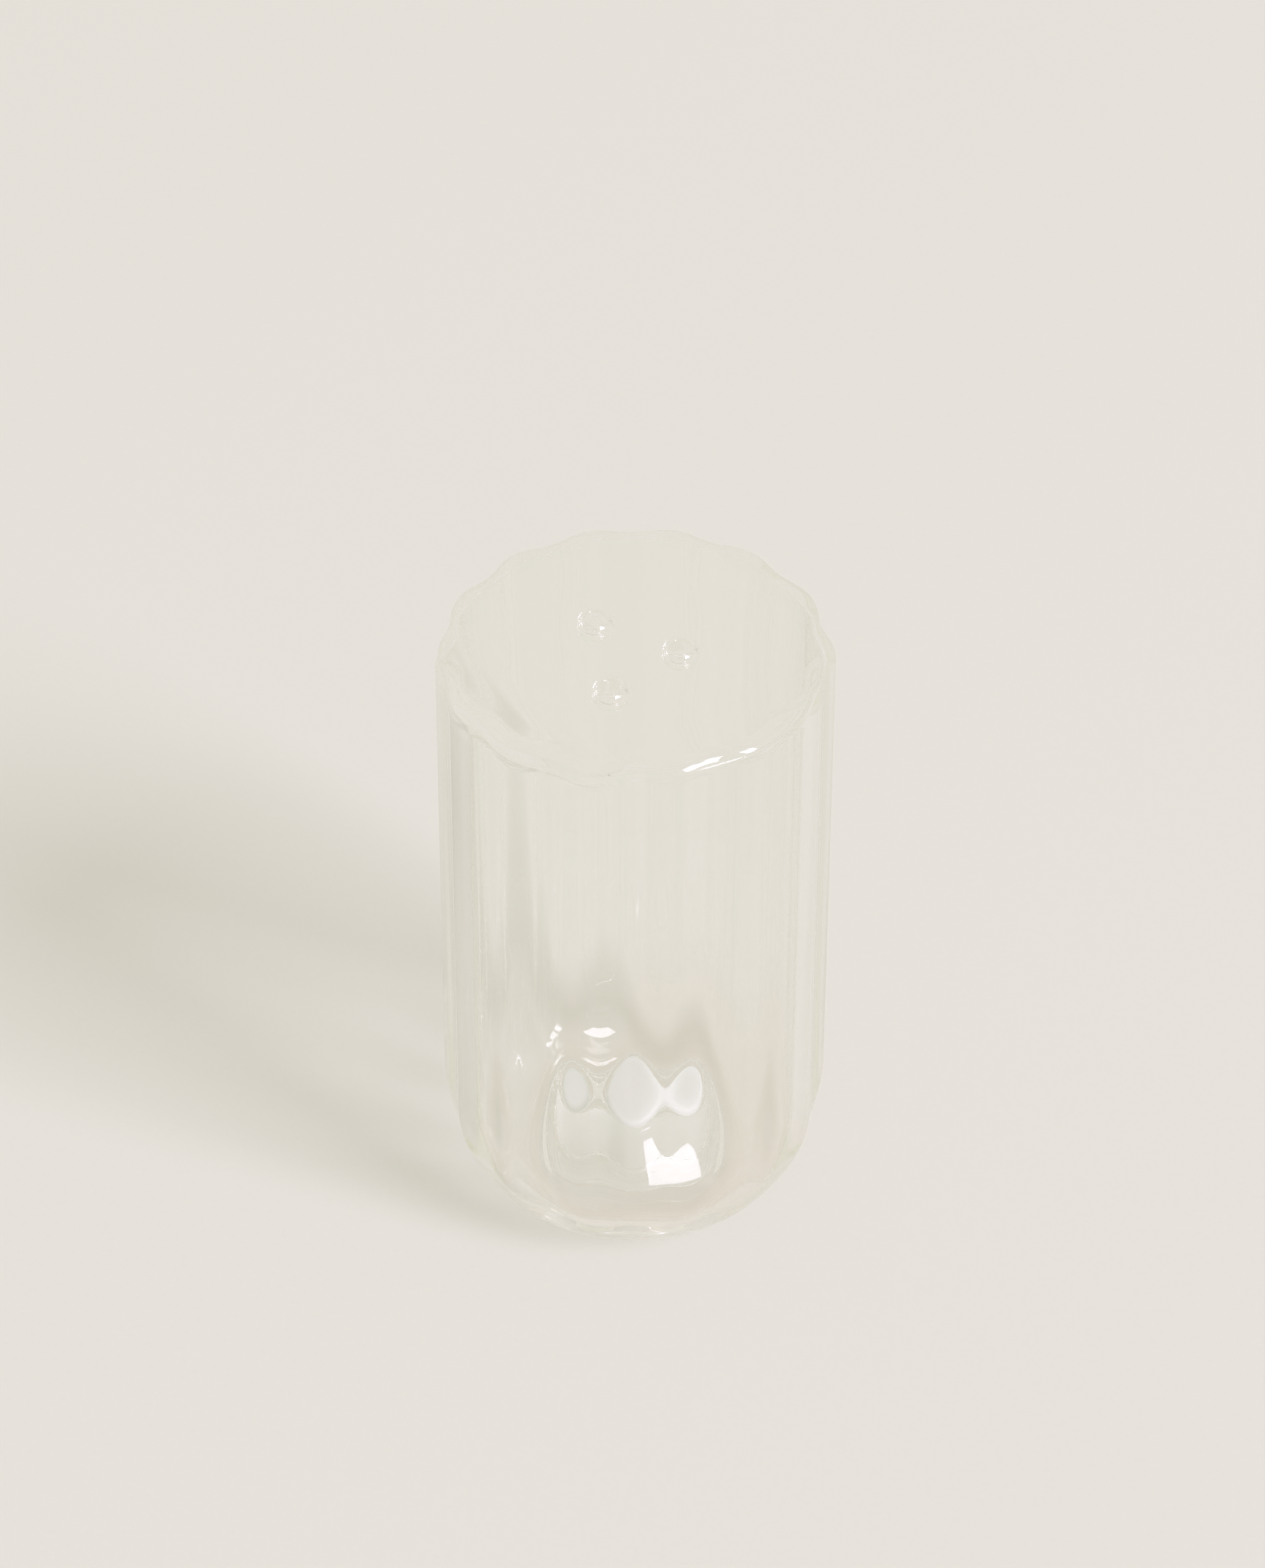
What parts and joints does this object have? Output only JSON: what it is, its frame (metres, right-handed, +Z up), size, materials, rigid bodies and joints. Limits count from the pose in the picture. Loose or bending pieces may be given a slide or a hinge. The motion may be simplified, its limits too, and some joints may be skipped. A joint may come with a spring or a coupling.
{
  "type": "salt shaker",
  "caption": "Clear fluted glass salt shaker with pour holes in its flat top and a pull-out silicone stopper in the neck inside its base.",
  "frame": {"origin": "middle of the standing ring, on the table plane", "axes": "+Z up along the shaker's axis, +X to the right and -Y towards the viewer of the picture"},
  "size_m": [0.05, 0.0492, 0.087],
  "materials": {
    "clear_glass": "clear, fire-polished",
    "milky_silicone": "satin, milky translucent"
  },
  "bodies": {
    "glass": {"glass_body": "clear_glass"},
    "stopper": {"base_stopper": "milky_silicone"}
  },
  "joints": [
    {"name": "stopper_pull", "type": "slide", "parent": "glass", "child": "stopper", "axis": [0, 0, -1], "range_m": [0, 0.02]}
  ]
}
